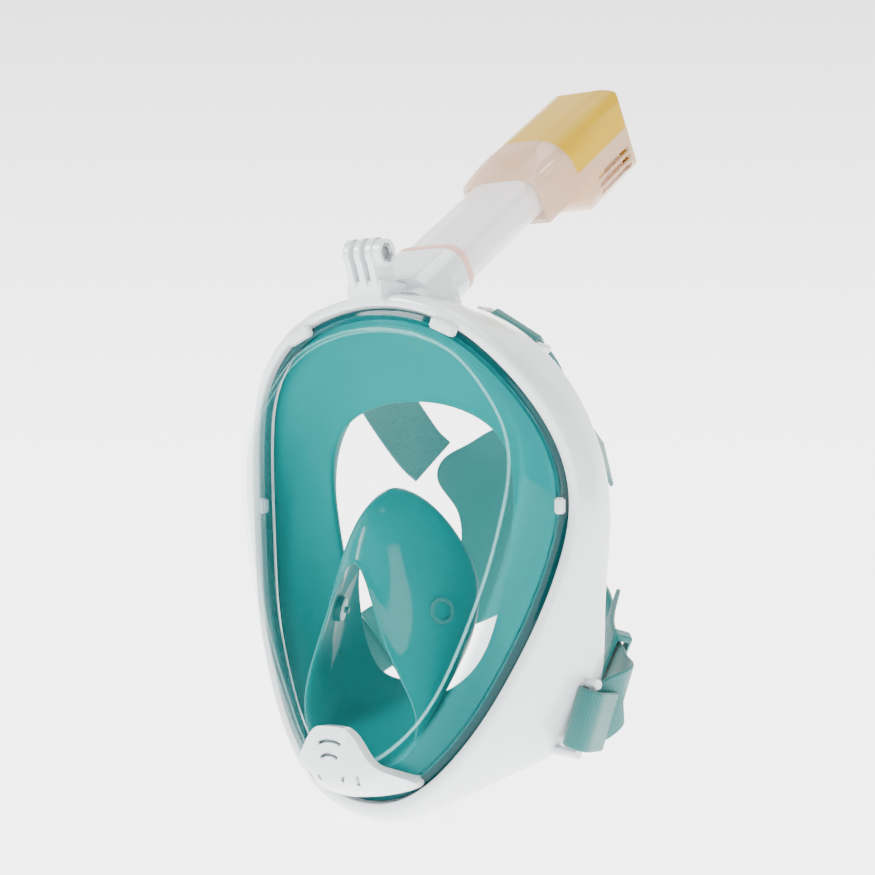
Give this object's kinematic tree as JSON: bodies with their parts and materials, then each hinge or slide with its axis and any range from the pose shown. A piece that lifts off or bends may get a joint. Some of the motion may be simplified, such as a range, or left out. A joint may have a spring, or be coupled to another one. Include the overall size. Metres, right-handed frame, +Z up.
{
  "type": "full-face snorkel mask",
  "caption": "Full-face snorkel mask: clear bulged lens, white frame, teal face seal and nose pocket, camera fork, strap harness and a leaning dry-top snorkel.",
  "frame": {"origin": "middle of the face seal, on its rear plane, where the wearer's face meets the mask", "axes": "+Z up, -Y the way the wearer looks, +X the wearer's left"},
  "size_m": [0.184, 0.2345, 0.353],
  "materials": {
    "white_plastic": "glossy",
    "clear_lens": "polished clear",
    "teal_silicone": "satin",
    "clear_silicone": "satin",
    "tinted_seal": "satin",
    "clear_tube": "frosted clear",
    "yellow_cap": "glossy translucent",
    "float_plastic": "matte",
    "steel": "zinc plated",
    "teal_strap": "woven elastic",
    "teal_plastic": "satin"
  },
  "bodies": {
    "mask": {"outer_frame": "white_plastic", "lens": "clear_lens", "face_skirt": "teal_silicone", "nose_pocket": "teal_silicone", "skirt_retainer": "white_plastic", "snorkel_socket": "white_plastic", "camera_mount": "white_plastic", "camera_mount_nut": "steel", "drain_seat": "white_plastic", "drain_cover": "white_plastic", "head_pad": "teal_strap", "inhale_seat_left": "teal_plastic", "upper_strap_bar_left": "white_plastic", "lower_strap_bar_left": "white_plastic", "upper_strap_left": "teal_strap", "lower_strap_left": "teal_strap", "strap_slider_left": "teal_plastic", "inhale_seat_right": "teal_plastic", "upper_strap_bar_right": "white_plastic", "lower_strap_bar_right": "white_plastic", "upper_strap_right": "teal_strap", "lower_strap_right": "teal_strap", "strap_slider_right": "teal_plastic"},
    "snorkel": {"snorkel_tube": "clear_tube", "plug_seal": "tinted_seal", "seat_ring": "tinted_seal", "head_cap": "yellow_cap", "head_body": "clear_tube", "valve_plate": "clear_tube", "float_pin": "clear_tube"},
    "float": {"float": "float_plastic", "float_seal": "clear_silicone"},
    "release_button": {"release_button": "white_plastic"},
    "drain_disc": {"drain_disc": "clear_silicone"},
    "inhale_disc_left": {"inhale_disc_left": "clear_silicone"},
    "inhale_disc_right": {"inhale_disc_right": "clear_silicone"}
  },
  "joints": [
    {"name": "snorkel_pull", "type": "slide", "parent": "mask", "child": "snorkel", "axis": [0, 0.8387, 0.5446], "range_m": [0, 0.02]},
    {"name": "float_rise", "type": "slide", "parent": "snorkel", "child": "float", "axis": [0, 0.8387, 0.5446], "range_m": [0, 0.0068]},
    {"name": "release_press", "type": "slide", "parent": "mask", "child": "release_button", "axis": [1, 0, 0], "range_m": [0, 0.001], "stiffness_N_per_m": 600},
    {"name": "drain_lift", "type": "slide", "parent": "mask", "child": "drain_disc", "axis": [0, -1, 0], "range_m": [0, 0.001], "stiffness_N_per_m": 30},
    {"name": "inhale_lift_left", "type": "slide", "parent": "mask", "child": "inhale_disc_left", "axis": [-0.8736, 0.4519, -0.1807], "range_m": [0, 0.001], "stiffness_N_per_m": 30},
    {"name": "inhale_lift_right", "type": "slide", "parent": "mask", "child": "inhale_disc_right", "axis": [0.8736, 0.4519, -0.1807], "range_m": [0, 0.001], "stiffness_N_per_m": 30}
  ]
}
